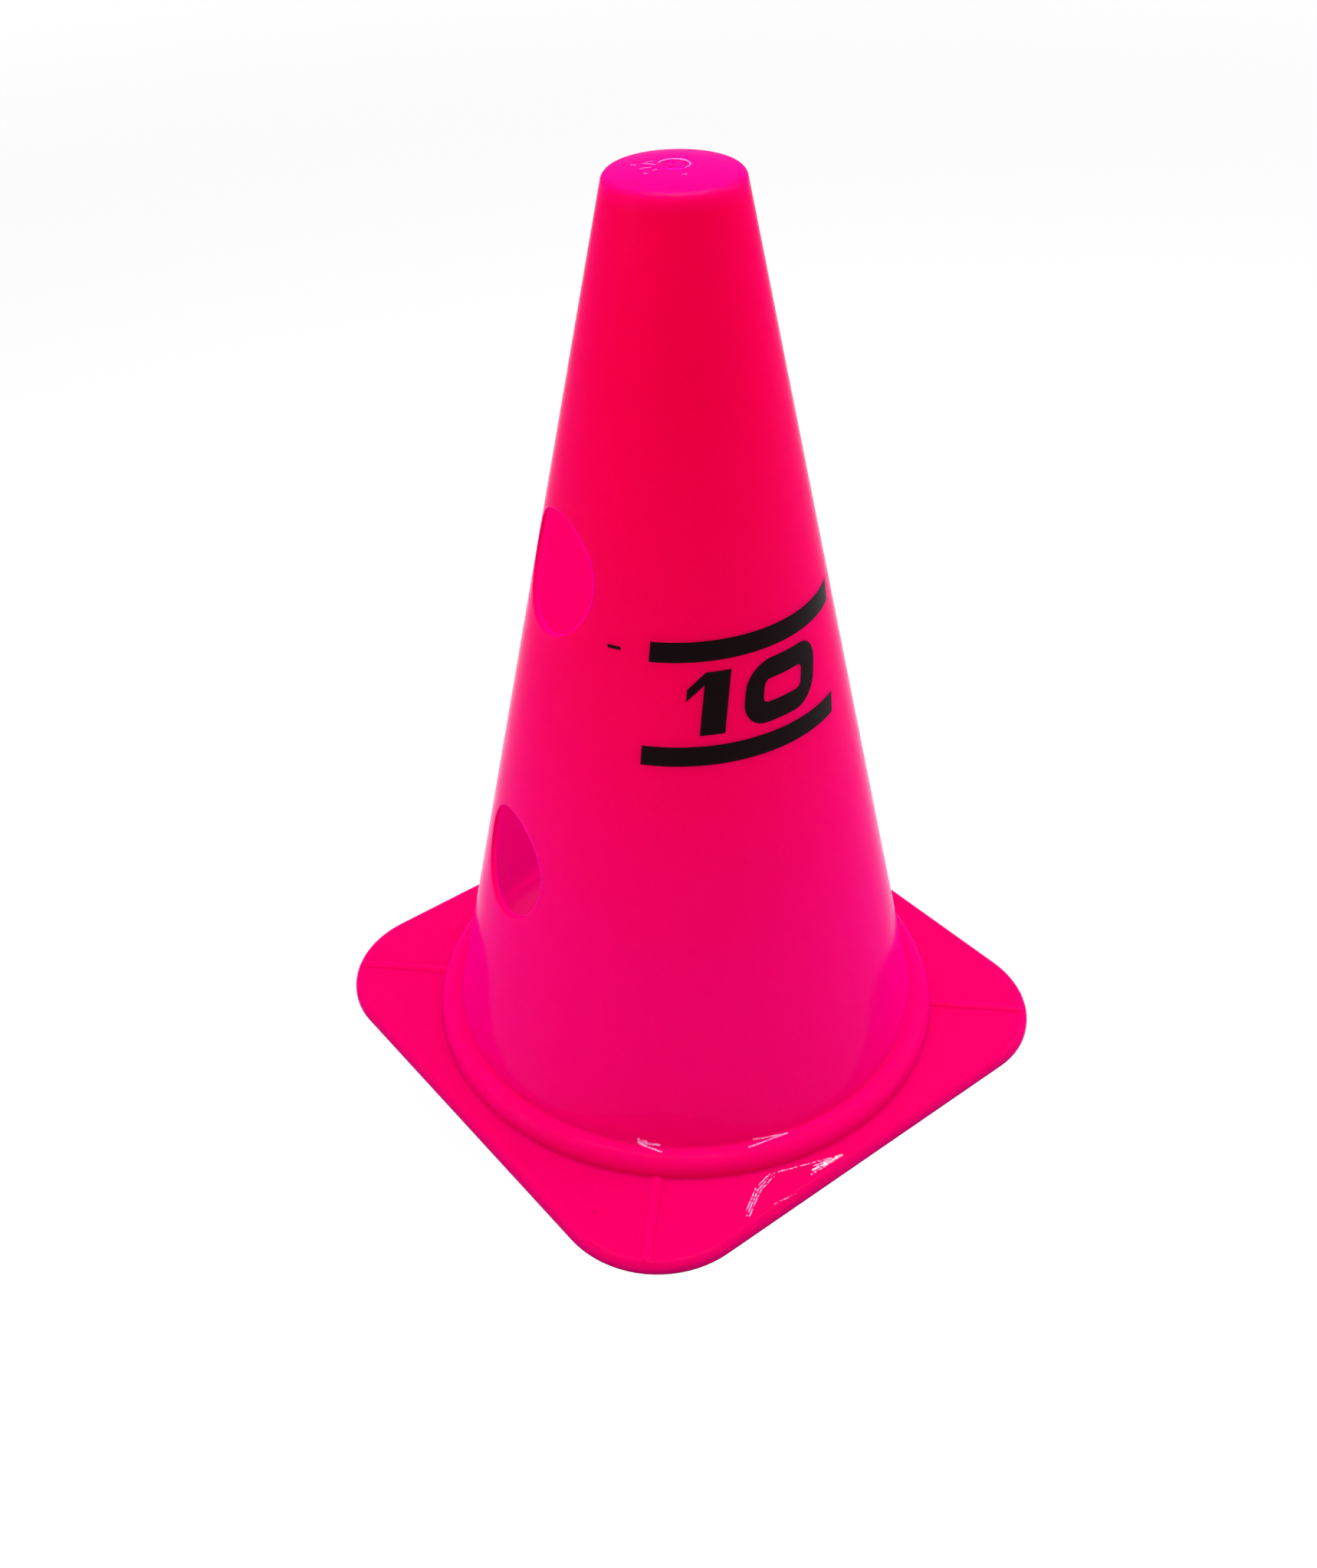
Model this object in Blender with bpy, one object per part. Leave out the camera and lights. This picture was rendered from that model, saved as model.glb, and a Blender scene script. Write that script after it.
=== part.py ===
# Training cone, 231 mm high: one thin moulded shell that stands on a square base plate, with two levels
# of through holes for a pole and a plain black print on its wall. Metres, +Z up, the floor at z = 0.

from math import atan, atan2, ceil, cos, pi, radians, sin, sqrt

import bmesh
import bpy

# Cone wall. Both radii are those of the outer face, carried on straight to the floor and to the edge of the
# top, which is domed.
HEIGHT = 0.230
TOP_RADIUS = 0.0146
FOOT_RADIUS = 0.0639
WALL = 0.0015
TOP_THICKNESS = 0.0017
TOP_ROUND = 0.0012
TOP_DOME = 0.0012

# Mark of the moulding gate, a shallow round dimple in the middle of the top.
GATE_RADIUS = 0.0030
GATE_DEPTH = 0.0004

# Square base plate with a rounded rim turned down to the floor. The flange is what shows of the plate
# between the bead and the middle of a side.
FLANGE = 0.0068
BASE_CORNER = 0.027
PLATE_TOP = 0.0030
PLATE_THICKNESS = 0.0015
RIM_ROUND = 0.0023
RIM_THICKNESS = 0.0016

# Hollow bead round the foot of the wall, standing out from it and up from the plate.
BEAD_STAND = 0.0043
BEAD_RISE = 0.0050
BEAD_ROUND = 0.0042

# Low ribs on the diagonals of the plate.
RIB_COUNT = 4
RIB_WIDTH = 0.0026
RIB_RISE = 0.0007
RIB_ROOT = 0.0006
RIB_STEPS = 6

# Through holes for a pole, one level above the other. The wall's holes and its print are turned a little
# from the sides of the base.
POLE_DIAMETER = 0.025
POLE_CLEARANCE = 0.0015
LOWER_HOLE = 0.069
UPPER_HOLE = 0.147
HOLE_STEPS = 40
WALL_TURN = radians(-10.8)

# Print on the wall, a quarter turn from the holes: the number 10 between two plain bars, and a tick.
PRINT_HEIGHT = 0.1255
PRINT_GAP = 0.0003
PRINT_STEP = 0.0035
PRINT_SLANT_SHARE = 0.20
INK = 0.0002
BAR_WIDTH = 0.052
BAR_HEIGHT = 0.0047
BAR_SPACE = 0.0026
NUMERAL_HEIGHT = 0.0150
STROKE = 0.0058
ONE_FLAG = 0.0038
ZERO_WIDTH = 0.0205
ZERO_CORNER = 0.0062
ZERO_WALL = 0.0048
NUMERAL_SPACE = 0.0040
TICK_WIDTH = 0.0031
TICK_HEIGHT = 0.0008
TICK_SPACE = 0.0042
TICK_RISE = 0.0122

# Fineness of the faceted surfaces, how far a cutter runs past what it cuts, and how near a cut has to come to
# a point to go through it.
SHARP_ANGLE = radians(30)
SEARCH_STEPS = 40
DOME_STEPS = 3
SIDE_STEPS = 5
CORNER_STEPS = 8
ROUND_STEPS = 4
BEAD_STEPS = 7
OVERRUN = 0.010
SNAP = 0.00005

# Colours in linear light.
PINK = (0.88, 0.002, 0.118, 1.0)
BLACK = (0.006, 0.005, 0.006, 1.0)
PLASTIC_ROUGHNESS = 0.28
INK_ROUGHNESS = 0.45

# Worked out from the values above.
SLOPE = (FOOT_RADIUS - TOP_RADIUS) / HEIGHT
LEAN = atan(SLOPE)
HOLE_RADIUS = POLE_DIAMETER / 2 + POLE_CLEARANCE
BEAD_RADIUS = FOOT_RADIUS + BEAD_STAND
BEAD_CENTRE = BEAD_RADIUS - BEAD_ROUND
BEAD_MIDDLE = PLATE_TOP + BEAD_RISE - BEAD_ROUND
HALF_SIDE = BEAD_RADIUS + FLANGE


def outer_radius(height):
    return FOOT_RADIUS - SLOPE * height


def inner_radius(height):
    return outer_radius(height) - WALL / cos(LEAN)


def clear_scene():
    for obj in list(bpy.data.objects):
        bpy.data.objects.remove(obj, do_unlink=True)


def plastic(name, colour, roughness):
    material = bpy.data.materials.new(name)
    material.use_nodes = True
    shader = material.node_tree.nodes["Principled BSDF"]
    shader.inputs["Base Color"].default_value = colour
    shader.inputs["Roughness"].default_value = roughness
    shader.inputs["Metallic"].default_value = 0.0
    material.diffuse_color = colour
    return material


def rounded_square(half, corner):
    """Points of a square with round corners, anticlockwise from the middle of its +X side."""
    points = []
    for quarter in range(4):
        turn = quarter * pi / 2
        straight = half - corner
        run = [(half, straight * step / SIDE_STEPS) for step in range(SIDE_STEPS)]
        for step in range(CORNER_STEPS + 1):
            angle = step * pi / 2 / CORNER_STEPS
            run.append((straight + corner * cos(angle), straight + corner * sin(angle)))
        run += [(straight * step / SIDE_STEPS, half) for step in range(SIDE_STEPS - 1, 0, -1)]
        points += [(x * cos(turn) - y * sin(turn), x * sin(turn) + y * cos(turn)) for x, y in run]
    return points


def base_outline(inset):
    return rounded_square(HALF_SIDE - inset, BASE_CORNER - inset)


def circle(radius):
    """Points of a circle in the directions of the base's outline, so that the two can be bridged."""
    angles = [atan2(y, x) for x, y in base_outline(0)]
    return [(radius * cos(angle), radius * sin(angle)) for angle in angles]


def arc(centre_r, centre_z, radius, start, end, steps):
    """(radius, height) points on an arc, both ends included."""
    turns = [start + (end - start) * step / steps for step in range(steps + 1)]
    return [(centre_r + radius * cos(turn), centre_z + radius * sin(turn)) for turn in turns]


def bead_start(round_radius, wall_radius):
    """Angle on the bead's arc where it meets the wall, found by walking down the wall's own line."""
    low, high = pi / 2, pi
    for _ in range(SEARCH_STEPS):
        middle = (low + high) / 2
        r = BEAD_CENTRE + round_radius * cos(middle)
        z = BEAD_MIDDLE + round_radius * sin(middle)
        low, high = (middle, high) if r > wall_radius(z) else (low, middle)
    return low


def dome(crest, edge, foot):
    """(radius, height) points down a dome, from its crest radius to just short of its edge radius."""
    shares = [step / DOME_STEPS for step in range(DOME_STEPS)]
    return [(crest + (edge - crest) * share, foot + TOP_DOME * (1 - share ** 2)) for share in shares]


def outer_rings():
    """The outer skin as outlines with their heights, from the top down to the floor."""
    shoulder = outer_radius(HEIGHT) - TOP_ROUND * (1 - sin(LEAN)) / cos(LEAN)
    top = dome(GATE_RADIUS + GATE_DEPTH, shoulder, HEIGHT)
    top += arc(shoulder, HEIGHT - TOP_ROUND, TOP_ROUND, pi / 2, LEAN, ROUND_STEPS)
    bead = arc(BEAD_CENTRE, BEAD_MIDDLE, BEAD_ROUND, bead_start(BEAD_ROUND, outer_radius), 0, BEAD_STEPS)
    rings = [(circle(GATE_RADIUS), HEIGHT + TOP_DOME - GATE_DEPTH)]
    rings += [(circle(r), z) for r, z in top + bead]
    rings.append((circle(BEAD_RADIUS), PLATE_TOP))
    for step in range(ROUND_STEPS + 1):
        turn = pi / 2 * (1 - step / ROUND_STEPS)
        inset = RIM_ROUND * (1 - cos(turn))
        rings.append((base_outline(inset), PLATE_TOP - RIM_ROUND * (1 - sin(turn))))
    rings.append((base_outline(0), 0))
    return rings


def inner_rings():
    """The inner skin, from the floor up to the underside of the top."""
    hollow = BEAD_ROUND - WALL
    under_plate = PLATE_TOP - PLATE_THICKNESS
    start = bead_start(BEAD_ROUND, outer_radius)
    bead = arc(BEAD_CENTRE, BEAD_MIDDLE, hollow, 0, start, BEAD_STEPS)
    mouth = bead[-1][1]
    rings = [(base_outline(RIM_THICKNESS), 0), (base_outline(RIM_THICKNESS), under_plate)]
    rings += [(circle(BEAD_CENTRE + hollow), under_plate)]
    rings += [(circle(r), z) for r, z in bead]
    rings.append((circle(inner_radius(mouth)), mouth))
    under_top = HEIGHT - TOP_THICKNESS
    rings.append((circle(inner_radius(under_top)), under_top))
    rings += [(circle(r), z) for r, z in reversed(dome(GATE_RADIUS, inner_radius(under_top), under_top))]
    return rings


def mesh_object(name, bm, material):
    bmesh.ops.recalc_face_normals(bm, faces=bm.faces)
    mesh = bpy.data.meshes.new(name)
    bm.to_mesh(mesh)
    bm.free()
    obj = bpy.data.objects.new(name, mesh)
    bpy.context.scene.collection.objects.link(obj)
    if material:
        mesh.materials.append(material)
    mesh.shade_smooth()
    mesh.set_sharp_from_angle(angle=SHARP_ANGLE)
    return obj


def band(bm, first, second):
    """Faces between two rings of vertices that have the same directions."""
    sides = zip(first, first[1:] + first[:1], second[1:] + second[:1], second)
    for corners in sides:
        bm.faces.new(corners)


def skin(rings):
    """A closed surface through the rings, each joined to the next, with both ends filled."""
    bm = bmesh.new()
    loops = [[bm.verts.new((x, y, height)) for x, y in points] for points, height in rings]
    for first, second in zip(loops, loops[1:]):
        band(bm, first, second)
    bm.faces.new(loops[0])
    bm.faces.new(loops[-1])
    return bm


def helper(obj):
    obj.hide_render = True
    obj.display_type = "WIRE"
    return obj


def boolean(obj, other, operation):
    modifier = obj.modifiers.new(other.name, "BOOLEAN")
    modifier.operation = operation
    modifier.object = other


def rib(index, direction):
    """A low round-backed bar on the plate, from under the bead to the shoulder of the rim."""
    corner_reach = (HALF_SIDE - BASE_CORNER) * sqrt(2) + BASE_CORNER
    start = BEAD_RADIUS - WALL / 2
    end = corner_reach - RIM_ROUND
    bm = bmesh.new()
    back = []
    for step in range(RIB_STEPS + 1):
        turn = pi * step / RIB_STEPS
        back.append((RIB_WIDTH / 2 * cos(turn), PLATE_TOP + RIB_RISE * sin(turn)))
    section = [(RIB_WIDTH / 2, PLATE_TOP - RIB_ROOT)] + back + [(-RIB_WIDTH / 2, PLATE_TOP - RIB_ROOT)]
    face = bm.faces.new([bm.verts.new((start, y, z)) for y, z in section])
    grown = bmesh.ops.extrude_face_region(bm, geom=[face])
    moved = [item for item in grown["geom"] if isinstance(item, bmesh.types.BMVert)]
    bmesh.ops.translate(bm, verts=moved, vec=(end - start, 0, 0))
    bar = helper(mesh_object(f"rib_bar_{index}", bm, None))
    bar.rotation_euler = (0, 0, direction)
    return bar


def pole_cutter(name, height, turn):
    """A round bar across the whole cone at one level of holes."""
    bm = bmesh.new()
    length = 2 * (outer_radius(height - HOLE_RADIUS) + OVERRUN)
    bmesh.ops.create_cone(
        bm, cap_ends=True, segments=HOLE_STEPS, radius1=HOLE_RADIUS, radius2=HOLE_RADIUS, depth=length)
    cutter = helper(mesh_object(name, bm, None))
    cutter.parent = turn
    cutter.location = (0, 0, height)
    cutter.rotation_euler = (0, pi / 2, 0)
    return cutter


def cone_shell(material, turn):
    shell = mesh_object("cone_shell", skin(outer_rings() + inner_rings()), material)
    for index in range(RIB_COUNT):
        boolean(shell, rib(index, pi / 4 + index * 2 * pi / RIB_COUNT), "UNION")
    for name, height in (("lower_cutter", LOWER_HOLE), ("upper_cutter", UPPER_HOLE)):
        boolean(shell, pole_cutter(name, height, turn), "DIFFERENCE")
    return shell


def on_wall(along, up, out):
    """A point of the print: along and up from its centre on the wall, and out from the wall's face."""
    height = PRINT_HEIGHT + up * cos(LEAN)
    radius = outer_radius(height) + out * cos(LEAN)
    angle = along / outer_radius(height) - pi / 2
    return radius * cos(angle), radius * sin(angle), height + out * sin(LEAN)


def slanted(outline):
    return [(along + up * PRINT_SLANT_SHARE, up) for along, up in outline]


def rectangle(width, height, along, up):
    """Corners of a rectangle round its middle."""
    left, right = along - width / 2, along + width / 2
    foot, head = up - height / 2, up + height / 2
    return [(left, foot), (right, foot), (right, head), (left, head)]


def ink_film(name, outlines, material, turn):
    """A thin film on the wall, drawn flat from one outline, or as the ring between two."""
    bm = bmesh.new()
    loops = [[bm.verts.new((along, up, 0)) for along, up in outline] for outline in outlines]
    if len(loops) > 1:
        band(bm, loops[0], loops[1])
    else:
        bm.faces.new(loops[0])
    reach = max(abs(along) for outline in outlines for along, _ in outline)
    for index in range(-ceil(reach / PRINT_STEP), ceil(reach / PRINT_STEP) + 1):
        everything = bm.verts[:] + bm.edges[:] + bm.faces[:]
        place = (index * PRINT_STEP, 0, 0)
        bmesh.ops.bisect_plane(bm, geom=everything, dist=SNAP, plane_co=place, plane_no=(1, 0, 0))
    grown = bmesh.ops.extrude_face_region(bm, geom=bm.faces[:])
    moved = [item for item in grown["geom"] if isinstance(item, bmesh.types.BMVert)]
    bmesh.ops.translate(bm, verts=moved, vec=(0, 0, INK))
    for vert in bm.verts:
        along, up, out = vert.co
        vert.co = on_wall(along, up, PRINT_GAP + out)
    film = mesh_object(name, bm, material)
    film.parent = turn
    return film


def one_outline(left):
    """A bold figure 1: a post with a flag at its upper left."""
    half = NUMERAL_HEIGHT / 2
    post = left + ONE_FLAG
    points = [(post, -half), (post + STROKE, -half), (post + STROKE, half), (post, half)]
    points += [(left, half - ONE_FLAG), (left, half - ONE_FLAG - STROKE / 2), (post, half - STROKE / 2)]
    return slanted(points)


def zero_outlines(left):
    """A bold figure 0: a ring with round corners."""
    centre = left + ZERO_WIDTH / 2
    outlines = []
    for inset in (0, ZERO_WALL):
        half_width, half_height = ZERO_WIDTH / 2 - inset, NUMERAL_HEIGHT / 2 - inset
        corner = max(ZERO_CORNER - inset, INK)
        outline = []
        for quarter, (sx, sy) in enumerate(((1, 1), (-1, 1), (-1, -1), (1, -1))):
            for step in range(ROUND_STEPS + 1):
                angle = (quarter + step / ROUND_STEPS) * pi / 2
                along = centre + sx * (half_width - corner) + corner * cos(angle)
                outline.append((along, sy * (half_height - corner) + corner * sin(angle)))
        outlines.append(slanted(outline))
    return outlines


def wall_print(material, turn):
    bar_middle = NUMERAL_HEIGHT / 2 + BAR_SPACE + BAR_HEIGHT / 2
    one_width = ONE_FLAG + STROKE
    left = -(one_width + NUMERAL_SPACE + ZERO_WIDTH) / 2
    for name, middle in (("print_bar_upper", bar_middle), ("print_bar_lower", -bar_middle)):
        ink_film(name, [slanted(rectangle(BAR_WIDTH, BAR_HEIGHT, 0, middle))], material, turn)
    ink_film("print_numeral_1", [one_outline(left)], material, turn)
    ink_film("print_numeral_0", zero_outlines(left + one_width + NUMERAL_SPACE), material, turn)
    tick_along = -BAR_WIDTH / 2 - TICK_SPACE - TICK_WIDTH / 2
    ink_film("print_tick", [rectangle(TICK_WIDTH, TICK_HEIGHT, tick_along, TICK_RISE)], material, turn)


def build():
    clear_scene()
    turn = bpy.data.objects.new("wall_turn", None)
    turn.rotation_euler = (0, 0, WALL_TURN)
    bpy.context.scene.collection.objects.link(turn)
    cone_shell(plastic("pink_plastic", PINK, PLASTIC_ROUGHNESS), turn)
    wall_print(plastic("black_ink", BLACK, INK_ROUGHNESS), turn)


build()
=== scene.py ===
import math

import bmesh
import bpy
from mathutils import Matrix, Vector


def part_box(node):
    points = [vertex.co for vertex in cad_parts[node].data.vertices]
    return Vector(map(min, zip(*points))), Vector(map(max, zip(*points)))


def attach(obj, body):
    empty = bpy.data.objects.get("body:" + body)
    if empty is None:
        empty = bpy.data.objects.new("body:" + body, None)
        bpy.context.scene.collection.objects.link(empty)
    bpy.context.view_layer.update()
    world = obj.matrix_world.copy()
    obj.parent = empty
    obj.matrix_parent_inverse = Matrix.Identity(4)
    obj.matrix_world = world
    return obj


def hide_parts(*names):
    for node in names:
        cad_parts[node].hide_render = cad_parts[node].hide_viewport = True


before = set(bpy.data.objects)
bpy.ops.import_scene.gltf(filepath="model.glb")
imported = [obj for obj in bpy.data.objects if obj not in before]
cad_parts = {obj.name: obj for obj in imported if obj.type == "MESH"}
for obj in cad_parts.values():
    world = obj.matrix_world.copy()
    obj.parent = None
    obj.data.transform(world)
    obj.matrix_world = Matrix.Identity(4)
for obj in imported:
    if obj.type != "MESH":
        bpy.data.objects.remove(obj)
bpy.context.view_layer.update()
mm = 0.001

shellLow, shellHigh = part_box("cone_shell")
baseSide = shellHigh[0] - shellLow[0]

# the wall: both radii are those of its outer face, carried on straight to the floor and to the domed top
topDome = 1.2 * mm
coneHeight = shellHigh[2] - shellLow[2] - topDome
wall = {
    "footRadius": 63.9 * mm,
    "topRadius": 14.6 * mm,
    "thickness": 1.5 * mm,
    "topRound": 1.9 * mm,
    "around": 288,
    "turned": math.radians(0.45),  # so that no column of the mesh grazes the edge of a hole
    "rows": 10,
}
wallSlope = (wall["footRadius"] - wall["topRadius"]) / coneHeight
wallLean = math.atan(wallSlope)
wallTurn = math.radians(-10.8)  # the holes and the print are turned from the sides of the base


def wallRadius(height):
    return wall["footRadius"] - wallSlope * height


def note(words):
    print("training cone:", words)


# how the meshes are worked
shaping = {
    "samePlace": 0.02 * mm,  # heights and radii closer than this count as the same
    "squareOn": 0.9,  # how far along an axis a face's normal has to go for the face to look that way
    "circleProfile": 0.5,  # makes a bevel part of a circle
    "plateMerge": 0.002 * mm,
    "filmMerge": 0.01 * mm,
    "sharpAngle": math.radians(32),  # edges sharper than this stay sharp
    "areaWeight": 100,  # how much the larger faces decide the shading
}


# small helpers for working in edit mode
def clearSelection():
    if bpy.context.object and bpy.context.object.mode != "OBJECT":
        bpy.ops.object.mode_set(mode="OBJECT")
    bpy.ops.object.select_all(action="DESELECT")


def makeActive(piece):
    clearSelection()
    piece.select_set(True)
    bpy.context.view_layer.objects.active = piece


def editPiece(piece):
    makeActive(piece)
    bpy.ops.object.mode_set(mode="EDIT")


def pick(kind, test):
    # selects the vertices, edges or faces that pass the test
    bpy.ops.mesh.select_mode(type=kind)
    bpy.ops.mesh.select_all(action="DESELECT")
    mesh = bpy.context.edit_object.data
    shape = bmesh.from_edit_mesh(mesh)
    items = {"VERT": shape.verts, "EDGE": shape.edges, "FACE": shape.faces}[kind]
    for item in items:
        if test(item):
            item.select_set(True)
    shape.select_flush_mode()
    bmesh.update_edit_mesh(mesh)


def bothEnds(edge, test):
    return all(test(vert.co) for vert in edge.verts)


def radiusOf(point):
    return math.hypot(point.x, point.y)


def near(first, second, within=shaping["samePlace"]):
    return abs(first - second) < within


def isEnd(face):
    # a flat end with many sides, which looks up or down
    return len(face.verts) > 4 and abs(face.normal.z) > shaping["squareOn"]


def roundOff(affect, width, steps, slide=True):
    # rounds the picked corners or edges with part of a circle
    bpy.ops.mesh.bevel(affect=affect, offset=width, segments=steps, profile=shaping["circleProfile"],
                       loop_slide=slide)


def applyModifier(piece, kind, settings):
    makeActive(piece)
    modifier = piece.modifiers.new(kind.title(), kind)
    for name, value in settings.items():
        setattr(modifier, name, value)
    bpy.ops.object.modifier_apply(modifier=modifier.name)


def cut(piece, tool, operation="DIFFERENCE"):
    applyModifier(piece, "BOOLEAN", {"operation": operation, "object": tool, "solver": "EXACT"})
    bpy.data.objects.remove(tool, do_unlink=True)


def smooth(piece):
    makeActive(piece)
    bpy.ops.object.shade_smooth_by_angle(angle=shaping["sharpAngle"])


# the camera stands where the photograph was taken from
camera = {
    "place": (-0.2118, -0.2633, 0.3367),
    "lookAzimuth": math.radians(54.162),
    "lookDown": math.radians(37.679),
    "roll": math.radians(-2.554),
    "focalPixels": 2175.2,
    "centreAcross": 800,
    "photoWidth": 1718,
    "photoHeight": 2046,
    "sensor": 36.0,
}


def buildCamera():
    azimuth, down = camera["lookAzimuth"], camera["lookDown"]
    away = Vector((math.cos(azimuth) * math.cos(down), math.sin(azimuth) * math.cos(down), -math.sin(down)))
    across = away.cross(Vector((0, 0, 1))).normalized()
    turn = Matrix.Rotation(-camera["roll"], 3, away)
    across = turn @ across
    above = across.cross(away)
    bpy.ops.object.camera_add(location=camera["place"])
    lens = bpy.context.object
    lens.rotation_euler = Matrix((across, above, -away)).transposed().to_euler()
    lens.data.sensor_fit = "VERTICAL"
    lens.data.sensor_height = camera["sensor"]
    lens.data.lens = camera["focalPixels"] / camera["photoHeight"] * camera["sensor"]
    lens.data.shift_x = (camera["photoWidth"] / 2 - camera["centreAcross"]) / camera["photoHeight"]
    bpy.context.scene.camera = lens


buildCamera()
note("camera placed")

# the hollow bead round the foot of the wall, and the fillets on either side of it
bead = {
    "crease": 68.2 * mm,
    "round": 4.2 * mm,
    "crest": 8.0 * mm,
    "wallFillet": 0.8 * mm,
    "plateFillet": 0.5 * mm,
    "steps": 16,
    "filletSteps": 5,
    "flatRing": 0.6 * mm,
}
plate = {
    "top": 3.0 * mm,
    "corner": 27.0 * mm,
    "rim": 2.3 * mm,
    "cornerSteps": 20,
    "rimSteps": 8,
    "flatRing": 0.5 * mm,
}


def arcPoints(centre, radius, start, end, steps):
    turns = [start + (end - start) * step / steps for step in range(steps + 1)]
    return [(centre[0] + radius * math.cos(turn), centre[1] + radius * math.sin(turn)) for turn in turns]


def footProfile():
    # radius and height of each ring, from the foot of the straight wall over the bead to the flat plate
    beadCentre = (bead["crease"] - bead["round"], bead["crest"] - bead["round"])
    fillet, reach = bead["wallFillet"], bead["round"] + bead["wallFillet"]
    offset = wall["footRadius"] + fillet / math.cos(wallLean) - beadCentre[0]
    square = 1 + wallSlope ** 2
    middle = offset * wallSlope + beadCentre[1]
    rest = offset ** 2 + beadCentre[1] ** 2 - reach ** 2
    seatHeight = (middle + math.sqrt(middle ** 2 - square * rest)) / square
    seat = (offset + beadCentre[0] - wallSlope * seatHeight, seatHeight)
    toBead = math.atan2(beadCentre[1] - seat[1], beadCentre[0] - seat[0])
    rings = arcPoints(seat, fillet, wallLean - math.pi, toBead, bead["filletSteps"])
    rings += arcPoints(beadCentre, bead["round"], toBead + math.pi, 0, bead["steps"])[1:]
    corner = (bead["crease"] + bead["plateFillet"], plate["top"] + bead["plateFillet"])
    rings += arcPoints(corner, bead["plateFillet"], math.pi, math.pi * 1.5, bead["filletSteps"])
    rings.append((corner[0] + bead["flatRing"], plate["top"]))
    return rings


def buildWall(profile):
    clearSelection()
    footRadius, footHeight = profile[0]
    middle = (coneHeight + footHeight) / 2
    bpy.ops.mesh.primitive_cone_add(vertices=wall["around"], radius1=footRadius, radius2=wall["topRadius"],
                                    depth=coneHeight - footHeight, location=(0, 0, middle),
                                    rotation=(0, 0, wall["turned"]))
    bpy.ops.object.transform_apply(location=True, rotation=True, scale=True)
    piece = bpy.context.object
    piece.name = "moulded_cone"
    editPiece(piece)
    pick("FACE", lambda face: face.normal.z < -shaping["squareOn"])
    bpy.ops.mesh.delete(type="ONLY_FACE")
    pick("EDGE", lambda edge: abs(edge.verts[0].co.z - edge.verts[1].co.z) > footHeight)
    bpy.ops.mesh.subdivide(number_cuts=wall["rows"])
    pick("EDGE", lambda edge: bothEnds(edge, lambda place: near(place.z, footHeight)))
    last = profile[0]
    for ring in profile[1:]:
        bpy.ops.mesh.extrude_edges_move(TRANSFORM_OT_translate={"value": (0, 0, ring[1] - last[1])})
        grow = ring[0] / last[0]
        bpy.ops.transform.resize(value=(grow, grow, 1), center_override=(0, 0, ring[1]))
        last = ring
    bpy.ops.object.mode_set(mode="OBJECT")
    return piece


def buildPlate():
    clearSelection()
    bpy.ops.mesh.primitive_plane_add(size=baseSide, location=(0, 0, plate["top"]))
    bpy.ops.object.transform_apply(location=True, rotation=True, scale=True)
    piece = bpy.context.object
    editPiece(piece)
    bpy.ops.mesh.select_all(action="SELECT")
    roundOff("VERTICES", plate["corner"], plate["cornerSteps"])
    bpy.ops.mesh.select_mode(type="EDGE")
    bpy.ops.mesh.select_all(action="SELECT")
    bpy.ops.mesh.extrude_edges_move(TRANSFORM_OT_translate={"value": (0, 0, -plate["top"])})
    pick("EDGE", lambda edge: bothEnds(edge, lambda place: near(place.z, plate["top"])))
    roundOff("EDGES", plate["rim"], plate["rimSteps"])
    pick("FACE", isEnd)
    bpy.ops.mesh.inset(thickness=plate["flatRing"], depth=0)
    bpy.ops.mesh.delete(type="ONLY_FACE")
    bpy.ops.object.mode_set(mode="OBJECT")
    return piece


def joinPlate(piece, base):
    makeActive(piece)
    base.select_set(True)
    bpy.ops.object.join()
    editPiece(piece)
    pick("EDGE", lambda edge: edge.is_boundary and bothEnds(edge, lambda place: near(place.z, plate["top"])))
    bpy.ops.mesh.bridge_edge_loops()
    bpy.ops.mesh.select_all(action="SELECT")
    bpy.ops.mesh.remove_doubles(threshold=shaping["plateMerge"])
    bpy.ops.mesh.normals_make_consistent(inside=False)
    bpy.ops.object.mode_set(mode="OBJECT")
    applyModifier(piece, "SOLIDIFY", {"thickness": wall["thickness"], "offset": -1, "use_even_offset": True,
                                      "use_quality_normals": True})


# the closed top, a low dome with the round mark that the moulding gate left
gate = {
    "radius": 3.1 * mm,
    "lip": 0.20 * mm,
    "lipRise": 0.14 * mm,
    "domeSteps": 10,
    "nubRadius": 1.1 * mm,
    "nubRise": 0.07 * mm,
    "headroom": 0.01 * mm,  # keeps the lip below the part's full height
    "roundSteps": 8,
}


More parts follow.
